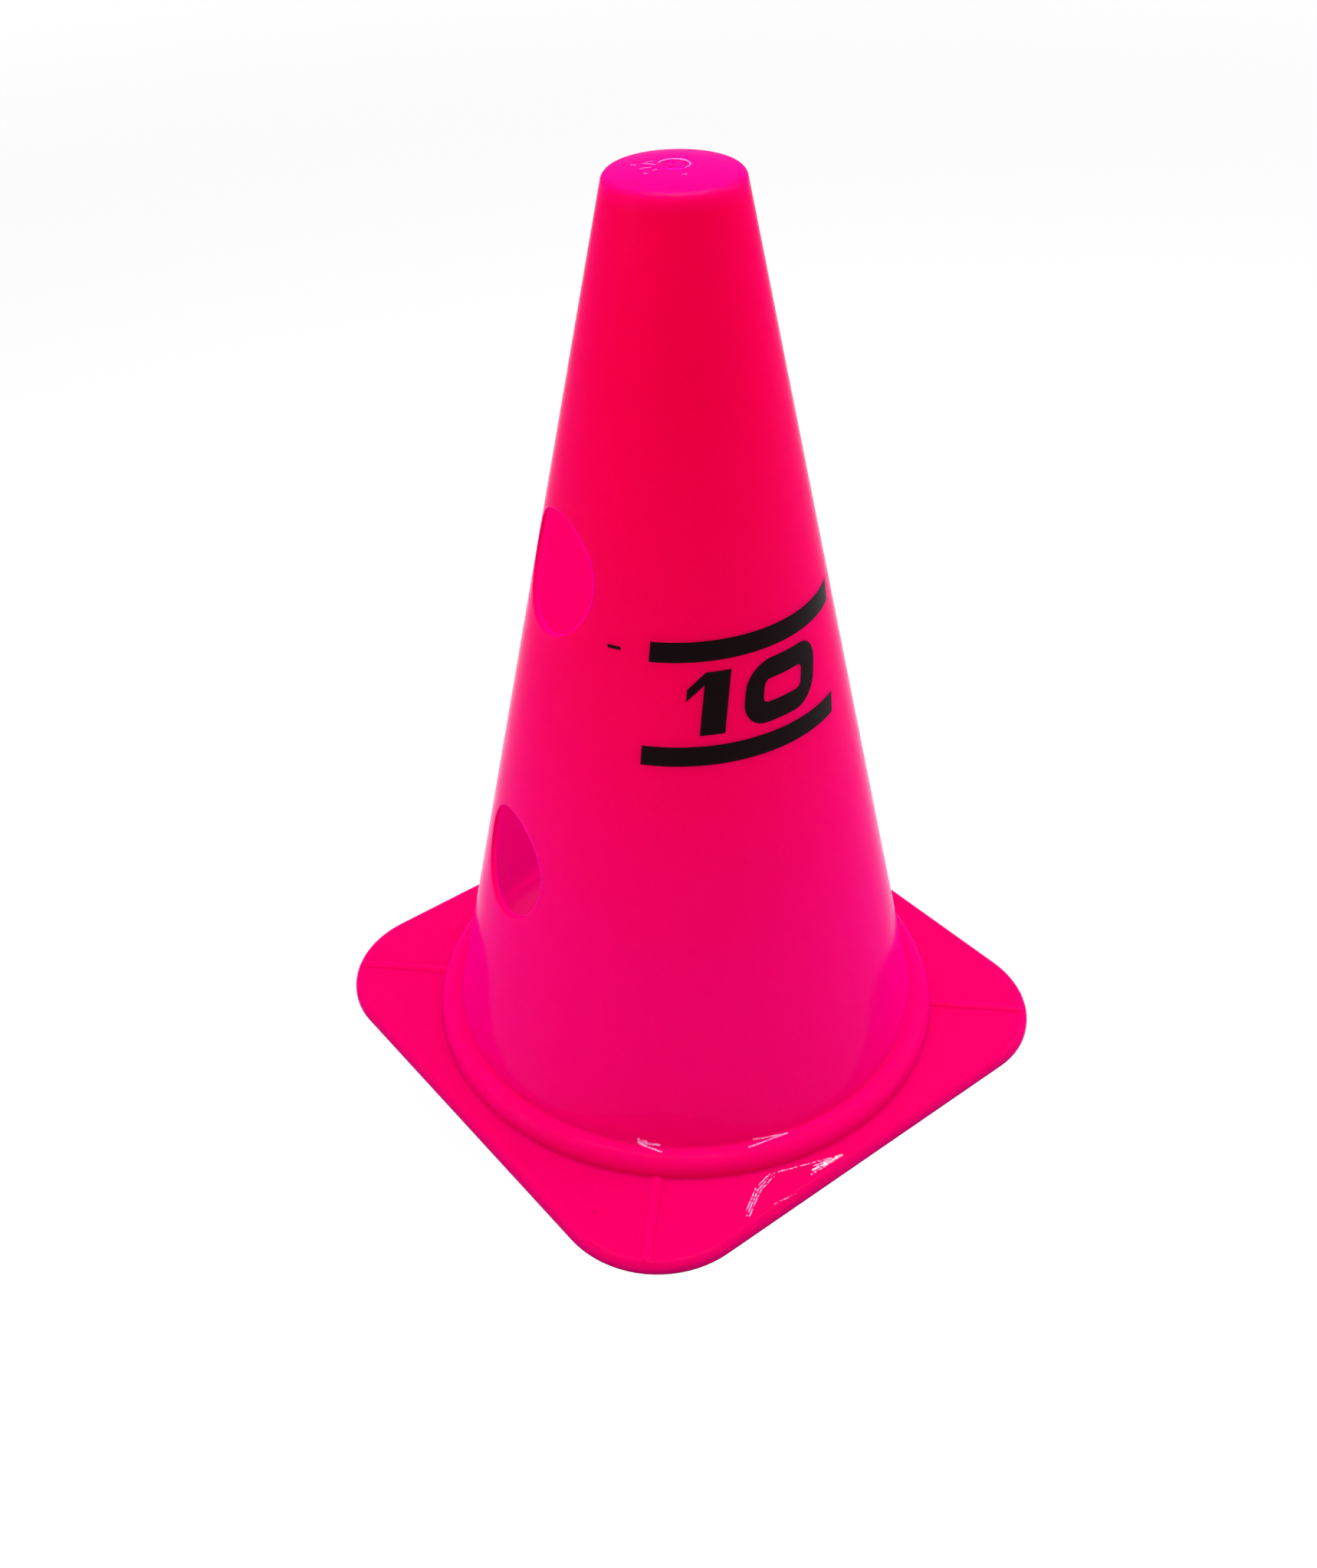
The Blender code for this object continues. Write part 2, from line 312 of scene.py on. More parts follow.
def roundTop(piece):
    def onTopEdge(place):
        return near(place.z, coneHeight) and near(radiusOf(place), wall["topRadius"])

    editPiece(piece)
    pick("EDGE", lambda edge: bothEnds(edge, onTopEdge))
    tangent = wall["topRound"] * math.tan((math.pi / 2 - wallLean) / 2)
    roundOff("EDGES", tangent, gate["roundSteps"])
    pick("FACE", lambda face: isEnd(face) and near(face.calc_center_median().z, coneHeight))
    # the dome in rings from its edge inwards, and then the lip, floor and nub of the gate mark
    flat, lip, lipRise = wall["topRadius"] - tangent, gate["lip"], gate["lipRise"]
    climb = topDome - lipRise - gate["headroom"]
    shares = [step / gate["domeSteps"] for step in range(gate["domeSteps"] + 1)]
    widths = [flat + (gate["radius"] + lip * 2 - flat) * share for share in shares]
    rises = [climb * (1 - (1 - share) ** 2) for share in shares]
    steps = [(wide - nextWide, nextRise - rise)
             for wide, nextWide, rise, nextRise in zip(widths, widths[1:], rises, rises[1:])]
    steps += [
        (lip, lipRise),
        (lip, -lipRise),
        (lip, -lipRise),
        (gate["radius"] - lip - gate["nubRadius"], 0),
        (lip, gate["nubRise"]),
        (gate["nubRadius"] - lip * 2, 0),
    ]
    for inward, rise in steps:
        bpy.ops.mesh.inset(thickness=inward, depth=0)
        bpy.ops.transform.translate(value=(0, 0, rise))
    bpy.ops.object.mode_set(mode="OBJECT")


# the round holes for a pole, through both sides of the wall
poleHoles = {
    "radius": 14.0 * mm,
    "heights": (69.0 * mm, 147.0 * mm),
    "sides": 120,
    "edgeRound": 0.28 * mm,
    "edgeSteps": 3,
    "edgeAngle": math.radians(35),  # only edges sharper than this are rounded
    "onHoleWithin": 0.03 * mm,
    "tidyWithin": 0.04 * mm,
    "tidyRimWithin": 0.2 * mm,
    "overrun": 10 * mm,
}


def cutPoleHoles(piece):
    along = Vector((math.cos(wallTurn), math.sin(wallTurn), 0))
    for height in poleHoles["heights"]:
        clearSelection()
        reach = 2 * (wallRadius(height - poleHoles["radius"]) + poleHoles["overrun"])
        bpy.ops.mesh.primitive_cylinder_add(vertices=poleHoles["sides"], radius=poleHoles["radius"],
                                            depth=reach, location=(0, 0, height),
                                            rotation=(0, math.pi / 2, wallTurn))
        bpy.ops.object.transform_apply(location=True, rotation=True, scale=True)
        cut(piece, bpy.context.object)

    def onHole(place):
        for height in poleHoles["heights"]:
            fromAxis = place - Vector((0, 0, height))
            distance = (fromAxis - along * fromAxis.dot(along)).length
            if near(distance, poleHoles["radius"], poleHoles["onHoleWithin"]):
                return True
        return False

    def onOuterRim(place):
        return onHole(place) and radiusOf(place) > wallRadius(place.z) - wall["thickness"] / 2

    # the cuts leave some points almost on top of each other, which would fold the rounded edges
    editPiece(piece)
    bpy.ops.mesh.select_all(action="SELECT")
    bpy.ops.mesh.remove_doubles(threshold=poleHoles["tidyWithin"])
    pick("VERT", lambda vert: onHole(vert.co))
    bpy.ops.mesh.remove_doubles(threshold=poleHoles["tidyRimWithin"])
    pick("EDGE", lambda edge: len(edge.link_faces) == 2 and edge.calc_face_angle() > poleHoles["edgeAngle"]
         and bothEnds(edge, onOuterRim))
    roundOff("EDGES", poleHoles["edgeRound"], poleHoles["edgeSteps"], slide=False)
    bpy.ops.mesh.select_all(action="SELECT")
    bpy.ops.mesh.remove_doubles(threshold=poleHoles["tidyWithin"])
    bpy.ops.object.mode_set(mode="OBJECT")


# four low ribs on the diagonals of the plate
ribs = {
    "count": 4,
    "width": 2.9 * mm,
    "rise": 0.55 * mm,
    "sunk": 0.42 * mm,
    "sides": 48,
    "tip": 1.0 * mm,
}


def ribBar(length):
    # one rib along X, with its outer end tapered
    clearSelection()
    bpy.ops.mesh.primitive_cylinder_add(vertices=ribs["sides"], radius=ribs["width"] / 2, depth=length,
                                        rotation=(0, math.pi / 2, 0))
    bpy.ops.object.transform_apply(location=False, rotation=True, scale=False)
    bar = bpy.context.object
    editPiece(bar)
    pick("FACE", lambda face: face.normal.x > shaping["squareOn"])
    bpy.ops.mesh.inset(thickness=ribs["tip"] / 2, depth=0)
    bpy.ops.transform.translate(value=(ribs["tip"], 0, 0))
    bpy.ops.mesh.select_all(action="SELECT")
    flatter = (ribs["rise"] + ribs["sunk"]) / (ribs["width"] / 2)
    bpy.ops.transform.resize(value=(1, 1, flatter), center_override=(0, 0, 0))
    bpy.ops.object.mode_set(mode="OBJECT")
    return bar


def addRibs(piece):
    straight = baseSide / 2 - plate["corner"]
    end = straight * math.sqrt(2) + plate["corner"] - plate["rim"]
    start = bead["crease"] - wall["thickness"] / 2
    middle = (start + end) / 2
    bar = ribBar(end - start)
    for index in range(ribs["count"]):
        azimuth = math.pi / 4 + index * 2 * math.pi / ribs["count"]
        makeActive(bar)
        bpy.ops.object.duplicate()
        rib = bpy.context.object
        rib.location = (middle * math.cos(azimuth), middle * math.sin(azimuth), plate["top"] - ribs["sunk"])
        rib.rotation_euler = (0, 0, azimuth)
        bpy.ops.object.transform_apply(location=True, rotation=True, scale=True)
        cut(piece, rib, "UNION")
    bpy.data.objects.remove(bar, do_unlink=True)


def finishShape(piece):
    smooth(piece)
    applyModifier(piece, "WEIGHTED_NORMAL", {"mode": "FACE_AREA", "weight": shaping["areaWeight"],
                                             "keep_sharp": True})


def buildCone():
    piece = buildWall(footProfile())
    joinPlate(piece, buildPlate())
    note("wall, bead and plate moulded")
    roundTop(piece)
    addRibs(piece)
    cutPoleHoles(piece)
    finishShape(piece)
    note("top, ribs and pole holes made")
    return piece


# the black print: the number 10 between two plain bars, and a short tick, as thin films of ink on the wall
wallPrint = {
    "height": 125.5 * mm,
    "proud": 0.05 * mm,
    "sunk": 0.03 * mm,
    "cell": 0.9 * mm,
    "slant": 0.20,
    "barWidth": 52 * mm,
    "barHeight": 4.7 * mm,
    "barSpace": 2.6 * mm,
    "numeralHeight": 15 * mm,
    "stroke": 5.8 * mm,
    "oneFlag": 3.8 * mm,
    "zeroWidth": 20.5 * mm,
    "zeroCorner": 6.2 * mm,
    "zeroCornerSteps": 10,
    "zeroWall": 4.8 * mm,
    "numeralSpace": 4 * mm,
    "tickWidth": 3.1 * mm,
    "tickHeight": 0.8 * mm,
    "tickSpace": 4.2 * mm,
    "tickRise": 12.2 * mm,
}


def flatSheet(name, width, height, middle):
    clearSelection()
    bpy.ops.mesh.primitive_plane_add(size=1, location=(middle[0], middle[1], 0))
    sheet = bpy.context.object
    sheet.name = name
    sheet.scale = (width, height, 1)
    bpy.ops.object.transform_apply(location=True, rotation=True, scale=True)
    return sheet


def numeralOne(left):
    # an upright post, with a flag drawn out of its left edge near the top
    stroke, tall, flag = wallPrint["stroke"], wallPrint["numeralHeight"], wallPrint["oneFlag"]
    postLeft, flagFoot = left + flag, tall / 2 - stroke / 2

    def onFlagRoot(place):
        return near(place.x, postLeft) and place.y > flagFoot - shaping["samePlace"]

    post = flatSheet("ink_numeral_1", stroke, tall, (postLeft + stroke / 2, 0))
    editPiece(post)
    bpy.ops.mesh.select_all(action="SELECT")
    bpy.ops.mesh.bisect(plane_co=(0, flagFoot, 0), plane_no=(0, 1, 0))
    pick("EDGE", lambda edge: bothEnds(edge, onFlagRoot))
    bpy.ops.mesh.extrude_edges_move(TRANSFORM_OT_translate={"value": (-flag, -flag, 0)})
    bpy.ops.object.mode_set(mode="OBJECT")
    return post


def numeralZero(left):
    wide, tall = wallPrint["zeroWidth"], wallPrint["numeralHeight"]
    ring = flatSheet("ink_numeral_0", wide, tall, (left + wide / 2, 0))
    editPiece(ring)
    bpy.ops.mesh.select_all(action="SELECT")
    roundOff("VERTICES", wallPrint["zeroCorner"], wallPrint["zeroCornerSteps"])
    bpy.ops.mesh.select_mode(type="FACE")
    bpy.ops.mesh.select_all(action="SELECT")
    bpy.ops.mesh.inset(thickness=wallPrint["zeroWall"], depth=0)
    bpy.ops.mesh.delete(type="FACE")
    bpy.ops.object.mode_set(mode="OBJECT")
    return ring


def wrapOnWall(film, slant):
    # cuts the flat film into small cells, gives it its thickness and lays it round the wall
    editPiece(film)
    reach = max(abs(vert.co.x) for vert in film.data.vertices)
    cells = math.ceil(reach / wallPrint["cell"])
    for index in range(-cells, cells + 1):
        bpy.ops.mesh.select_all(action="SELECT")
        bpy.ops.mesh.bisect(plane_co=(index * wallPrint["cell"], 0, 0), plane_no=(1, 0, 0))
    bpy.ops.mesh.select_all(action="SELECT")
    bpy.ops.mesh.remove_doubles(threshold=shaping["filmMerge"])
    bpy.ops.mesh.normals_make_consistent(inside=False)
    bpy.ops.object.mode_set(mode="OBJECT")
    if sum(face.normal.z for face in film.data.polygons) < 0:
        film.data.flip_normals()
    applyModifier(film, "SOLIDIFY", {"thickness": wallPrint["proud"] + wallPrint["sunk"], "offset": -1})
    facing = wallTurn - math.pi / 2
    for vert in film.data.vertices:
        along, up, out = vert.co.x + slant * vert.co.y, vert.co.y, vert.co.z + wallPrint["proud"]
        height = wallPrint["height"] + up * math.cos(wallLean)
        radius = wallRadius(height) + out * math.cos(wallLean)
        angle = facing + along / wallRadius(height)
        vert.co = (radius * math.cos(angle), radius * math.sin(angle), height + out * math.sin(wallLean))
    smooth(film)
    return film


def buildPrint():
    barWidth, barHeight = wallPrint["barWidth"], wallPrint["barHeight"]
    barMiddle = wallPrint["numeralHeight"] / 2 + wallPrint["barSpace"] + barHeight / 2
    oneWidth = wallPrint["oneFlag"] + wallPrint["stroke"]
    left = -(oneWidth + wallPrint["numeralSpace"] + wallPrint["zeroWidth"]) / 2
    flats = {
        "print_bar_upper": flatSheet("ink_bar_upper", barWidth, barHeight, (0, barMiddle)),
        "print_bar_lower": flatSheet("ink_bar_lower", barWidth, barHeight, (0, -barMiddle)),
        "print_numeral_1": numeralOne(left),
        "print_numeral_0": numeralZero(left + oneWidth + wallPrint["numeralSpace"]),
    }
    films = {node: wrapOnWall(flat, wallPrint["slant"]) for node, flat in flats.items()}
    tickMiddle = -barWidth / 2 - wallPrint["tickSpace"] - wallPrint["tickWidth"] / 2
    tick = flatSheet("ink_tick", wallPrint["tickWidth"], wallPrint["tickHeight"],
                     (tickMiddle, wallPrint["tickRise"]))
    films["print_tick"] = wrapOnWall(tick, 0)
    note("print laid on the wall")
    return films


# shader sums are written as expressions on sockets
class Wire:
    def __init__(self, tree, socket=None):
        self.tree = tree
        self.socket = socket

    def node(self, kind, settings=None, inputs=None, output=0):
        # any node: its settings first, then the values or links of its sockets
        made = self.tree.nodes.new(kind)
        for name, value in (settings or {}).items():
            if name == "stops":
                ramp = made.color_ramp
                while len(ramp.elements) < len(value):
                    ramp.elements.new(0.5)
                for element, (place, colour) in zip(ramp.elements, value):
                    element.position = place
                    element.color = colour
            else:
                setattr(made, name, value)
        for name, value in (inputs or {}).items():
            if isinstance(value, Wire):
                self.tree.links.new(value.socket, made.inputs[name])
            else:
                made.inputs[name].default_value = value
        return Wire(self.tree, made.outputs[output] if made.outputs else None)

    def fade(self, value, zeroAt, oneAt, most=1.0, least=0.0):
        # a soft step; Map Range wants its lower end first
        low, high = min(zeroAt, oneAt), max(zeroAt, oneAt)
        atLow, atHigh = (least, most) if zeroAt < oneAt else (most, least)
        return self.node("ShaderNodeMapRange", {"interpolation_type": "SMOOTHSTEP"},
                         {"Value": value, "From Min": low, "From Max": high,
                          "To Min": atLow, "To Max": atHigh})

    def sum(self, operation, first, second):
        return self.node("ShaderNodeMath", {"operation": operation}, {0: first, 1: second})

    def vector(self, operation, *values, output=0):
        return self.node("ShaderNodeVectorMath", {"operation": operation}, dict(enumerate(values)), output)

    def mix(self, share, first, second, blend="MIX"):
        # a Mix node's colours are its sockets 6 and 7, and its output 2
        settings = {"data_type": "RGBA", "blend_type": blend}
        return self.node("ShaderNodeMix", settings, {0: share, 6: first, 7: second}, output=2)

    def __add__(self, other):
        return self.sum("ADD", self, other)

    def __radd__(self, other):
        return self.sum("ADD", other, self)

    def __sub__(self, other):
        return self.sum("SUBTRACT", self, other)

    def __rsub__(self, other):
        return self.sum("SUBTRACT", other, self)

    def __mul__(self, other):
        return self.sum("MULTIPLY", self, other)

    def __rmul__(self, other):
        return self.sum("MULTIPLY", other, self)


def newMaterial(name):
    material = bpy.data.materials.new(name)
    material.use_nodes = True
    material.node_tree.nodes.clear()
    return material, Wire(material.node_tree)


def finishMaterial(wire, shader):
    wire.node("ShaderNodeOutputMaterial", inputs={"Surface": shader})


noiseMiddle = 0.5  # what a noise comes to on average


def noise(wire, place, pattern, output=0):
    # a pattern is the noise's scale and its detail
    scale, detail = pattern
    return wire.node("ShaderNodeTexNoise", {"noise_dimensions": "3D"},
                     {"Vector": place, "Scale": scale, "Detail": detail}, output)


def bump(wire, height, rise, **under):
    # Normal takes another bump that this one lies on
    inputs = {"Strength": 1.0, "Distance": rise, "Height": height, **under}
    return wire.node("ShaderNodeBump", inputs=inputs)


# pink gloss plastic, coloured all through
pinkPlastic = {
    # the pink by height, with painted light and shade in it: a darker plate, a lighter bead and foot of the
    # wall, a redder wall higher up, and a lighter, more magenta top, which stand in for how the light falls
    # on them
    "pinkWithPaintedLight": (
        (3.2 * mm, (0.740, 0.0, 0.117, 1.0)),
        (4.0 * mm, (0.880, 0.0, 0.122, 1.0)),
        (8.2 * mm, (0.880, 0.0, 0.148, 1.0)),
        (12.0 * mm, (0.980, 0.0, 0.155, 1.0)),
        (55.0 * mm, (0.980, 0.0, 0.155, 1.0)),
        (120.0 * mm, (0.910, 0.0, 0.093, 1.0)),
        (190.0 * mm, (0.850, 0.0, 0.063, 1.0)),
        (226.0 * mm, (0.855, 0.0, 0.066, 1.0)),
        (230.4 * mm, (0.930, 0.0, 0.155, 1.0)),
    ),
    # painted highlight on the cut faces and rounded edges of the pole holes
    "paintedHoleEdgeLight": (0.93, 0.0, 0.115, 1.0),
    "deepening": (0.96, 0.96, 0.93, 1.0),
    "refraction": 1.03,
    "specularTint": (1.0, 0.0, 0.95, 1.0),
    "bloom": 0.14,
    "bloomTint": (1.0, 0.0, 0.85, 1.0),
    "bloomRoughness": 0.55,
    "roughness": 0.15,
    "roughnessSpread": 0.05,
    # the clear gloss: faint from the front, more where the surface turns away and on the top
    "gloss": 0.02,
    "topGloss": 0.05,
    "glossEdge": 0.16,
    "glossEdgeStart": 0.70,
    "glossEdgeEnd": 1.0,
    "facingBlend": 0.5,
    "glossRoughness": 0.04,
    "glossRefraction": 1.5,
    # the patterns of noise: scale and detail
    "cloud": (22.0, 3.0),
    "waves": (55.0, 1.0),
    "waveHeight": 0.035 * mm,
    "grain": (900.0, 2.0),
    "grainHeight": 0.0012 * mm,
    "glow": 1.0,
    "glowReach": (0.80, 0.10, 0.80),
    "glowScale": 5.0 * mm,
    # painted light: the inner faces glow, by height, standing in for daylight that the thin wall lets through
    # to its inner side
    "paintedDaylightGlow": (
        (6.0 * mm, (0.48, 0.0, 0.12, 1.0)),
        (14.0 * mm, (0.15, 0.0, 0.10, 1.0)),
        (70.0 * mm, (0.15, 0.0, 0.10, 1.0)),
        (110.0 * mm, (0.24, 0.0, 0.12, 1.0)),
    ),
    "throughDepth": 0.9 * mm,
}


# pale marks: painted highlights and reflections on the plate, the bead and the gate mark's lip, and scratches
# on the top: half a line's width, how many lines side by side, and the points of the run, as X and Y
scratchesAndPaintedHighlights = {
    # the pale pink of the painted highlights and of the scratches
    "colour": (1.0, 0.42, 0.82, 1.0),
    "roughness": 0.30,
    "wander": 0.4 * mm,
    "wanderNoise": (450.0, 1.0),
    "breakNoise": (1500.0, 3.0),
    "rimShare": 1 / 3,  # how far down the rim's rounding the plate's painted reflection goes
    "breakFrom": 0.42,
    "breakTo": 0.54,
    "beadBreak": 0.45,
    "softEdge": 0.2,
    "lineStep": 2.7,
    "topStrength": 0.40,
    # painted reflection: pale strokes where a lamp's reflection shows on the plate
    "paintedPlateReflection": (
        (0.24 * mm, 3, ((-38.6 * mm, -71.1 * mm), (-31.2 * mm, -66.9 * mm), (-25.6 * mm, -65.6 * mm))),
        (0.22 * mm, 1, ((-25.2 * mm, -65.4 * mm), (-15.9 * mm, -68.8 * mm), (-7.2 * mm, -72.1 * mm))),
        (0.45 * mm, 1, ((-15.4 * mm, -70.2 * mm), (-9.0 * mm, -71.8 * mm))),
        (0.34 * mm, 1, ((-18.0 * mm, -71.7 * mm), (-11.6 * mm, -71.9 * mm))),
        (0.16 * mm, 1, ((-31.0 * mm, -72.7 * mm), (-24.7 * mm, -73.6 * mm))),
    ),
    # the brightest parts of the plate's painted reflection, painted nearly white
    "paintedPlateWhiteHighlight": (
        (0.95 * mm, 1, ((-13.2 * mm, -71.2 * mm), (-10.6 * mm, -71.6 * mm))),
        (0.50 * mm, 1, ((-10.6 * mm, -71.6 * mm), (-7.6 * mm, -72.1 * mm))),
        (0.40 * mm, 1, ((-16.4 * mm, -70.9 * mm), (-13.2 * mm, -71.2 * mm))),
    ),
    "paintedHighlightWhite": (1.0, 0.80, 0.93, 1.0),
    "whiteBreak": 0.35,
    # painted glints: two pale V-shaped marks on the crest of the bead, where lamps would glint
    "paintedBeadGlints": (
        (0.42 * mm, 1, ((-47.6 * mm, -39.9 * mm), (-45.0 * mm, -45.7 * mm))),
        (0.20 * mm, 1, ((-47.6 * mm, -39.9 * mm), (-44.0 * mm, -44.1 * mm))),
        (0.34 * mm, 1, ((-16.4 * mm, -61.0 * mm), (-26.8 * mm, -58.5 * mm))),
        (0.20 * mm, 1, ((-16.4 * mm, -61.0 * mm), (-24.6 * mm, -57.3 * mm))),
    ),
    "onTop": (
        (0.20 * mm, 1, ((-5.9 * mm, 6.4 * mm), (-5.4 * mm, 5.4 * mm))),
        (0.22 * mm, 1, ((-4.1 * mm, 4.9 * mm), (-2.8 * mm, 2.5 * mm))),
        (0.20 * mm, 1, ((-6.3 * mm, 2.8 * mm), (-4.5 * mm, 1.9 * mm))),
        (0.16 * mm, 1, ((-5.4 * mm, 0.0), (-4.4 * mm, -0.1 * mm))),
        (0.16 * mm, 1, ((-7.4 * mm, 0.3 * mm), (-7.1 * mm, -0.5 * mm))),
        (0.16 * mm, 1, ((-2.5 * mm, -5.7 * mm), (-1.7 * mm, -6.2 * mm))),
        (0.16 * mm, 1, ((-3.2 * mm, 5.1 * mm), (-1.8 * mm, 4.5 * mm))),
    ),
    # painted highlight: the gate mark's lip is painted pale along this arc, where it catches the light
    "lipHighlightHalfWidth": 0.24 * mm,
    "lipHighlightFrom": math.radians(-85),
    "lipHighlightTo": math.radians(125),
    "lipHighlightSteps": 9,
    # a small darker spot on the plate
    "darkSpotPlace": (-66.8 * mm, -47.0 * mm, 0.0),
    "darkSpotRadius": 1.3 * mm,
    "darkSpotStrength": 0.30,
    "darkSpotColour": (0.45, 0.0, 0.03, 1.0),
}


def strokeMask(wire, flat, start, end, halfWidth):
    # 1 on the line from start to end, and 0 where it is further away than half the width
    run = end - start
    away = wire.vector("SUBTRACT", flat, start)
    share = wire.vector("DOT_PRODUCT", away, run / run.length_squared, output="Value")
    share = wire.node("ShaderNodeClamp", inputs={0: share})
    nearest = wire.node("ShaderNodeVectorMath", {"operation": "SCALE"}, {0: run, "Scale": share})
    distance = wire.vector("DISTANCE", away, nearest, output="Value")
    return wire.fade(distance, halfWidth, halfWidth * scratchesAndPaintedHighlights["softEdge"])


def runsMask(wire, flat, runs):
    strokes = []
    for halfWidth, lines, points in runs:
        points = [Vector((across, along, 0)) for across, along in points]
        run = (points[-1] - points[0]).normalized()
        side = Vector((-run.y, run.x, 0)) * halfWidth * scratchesAndPaintedHighlights["lineStep"]
        for line in range(lines):
            shift = side * (line - (lines - 1) / 2)
            for start, end in zip(points, points[1:]):
                strokes.append(strokeMask(wire, flat, start + shift, end + shift, halfWidth))
    mask = strokes[0]
    for stroke in strokes[1:]:
        mask = wire.sum("MAXIMUM", mask, stroke)
    return mask


def scratchAndHighlightMask(wire, place, flat, height):
    # two masks: the pale marks, which are painted highlights on the plate, the bead and the gate lip and
    # scratches on the top, and the brightest parts of the plate's painted reflection; broken leaves gaps in
    # both
    wander = Vector((scratchesAndPaintedHighlights["wander"], scratchesAndPaintedHighlights["wander"], 0))
    shift = noise(wire, place, scratchesAndPaintedHighlights["wanderNoise"], output="Color")
    bent = wire.vector("MULTIPLY_ADD", shift, wander, flat)
    bent = wire.vector("SUBTRACT", bent, wander / 2)
    broken = wire.fade(noise(wire, place, scratchesAndPaintedHighlights["breakNoise"]), scratchesAndPaintedHighlights["breakFrom"], scratchesAndPaintedHighlights["breakTo"])
    plateUp = wire.sum("GREATER_THAN", height, plate["top"] - plate["rim"] * scratchesAndPaintedHighlights["rimShare"])
    beadUp = wire.sum("GREATER_THAN", height, bead["crest"] - wall["thickness"])
    topUp = wire.sum("GREATER_THAN", height, coneHeight)
    paintedPlateReflection = runsMask(wire, bent, scratchesAndPaintedHighlights["paintedPlateReflection"]) * plateUp * broken
    paintedBeadGlints = runsMask(wire, bent, scratchesAndPaintedHighlights["paintedBeadGlints"]) * beadUp
    paintedBeadGlints = paintedBeadGlints * wire.sum("MAXIMUM", broken, scratchesAndPaintedHighlights["beadBreak"])
    # the painted highlight on the gate mark's lip joins the top's scratches
    lipHighlightRadius = gate["radius"] + gate["lip"]
    lip = arcPoints((0, 0), lipHighlightRadius, scratchesAndPaintedHighlights["lipHighlightFrom"], scratchesAndPaintedHighlights["lipHighlightTo"], scratchesAndPaintedHighlights["lipHighlightSteps"])
    onTop = runsMask(wire, bent, scratchesAndPaintedHighlights["onTop"] + ((scratchesAndPaintedHighlights["lipHighlightHalfWidth"], 1, lip),)) * topUp
    white = runsMask(wire, bent, scratchesAndPaintedHighlights["paintedPlateWhiteHighlight"]) * plateUp
    white = white * wire.sum("MAXIMUM", broken, scratchesAndPaintedHighlights["whiteBreak"])
    return paintedPlateReflection + paintedBeadGlints + onTop * scratchesAndPaintedHighlights["topStrength"], white


def paintedHoleEdgeLightMask(wire, place):
    # painted highlight: 1 on the cut faces of the pole holes and on their rounded edges, fading out just
    # beyond these, where a lighter, more magenta pink is painted
    along = (math.cos(wallTurn), math.sin(wallTurn), 0)
    full = poleHoles["radius"] + poleHoles["edgeRound"]
    masks = []
    for level in poleHoles["heights"]:
        fromAxis = wire.vector("SUBTRACT", place, (0, 0, level))
        distance = wire.vector("LENGTH", wire.vector("CROSS_PRODUCT", fromAxis, along), output="Value")
        masks.append(wire.fade(distance, full + poleHoles["edgeRound"], full))
    return wire.sum("MAXIMUM", *masks)


def heightRamp(wire, height, levels):
    # a colour for each level, from the floor to the top
    tall = coneHeight + topDome
    stops = [(level / tall, colour) for level, colour in levels]
    return wire.node("ShaderNodeValToRGB", {"stops": stops}, {0: height * (1 / tall)})


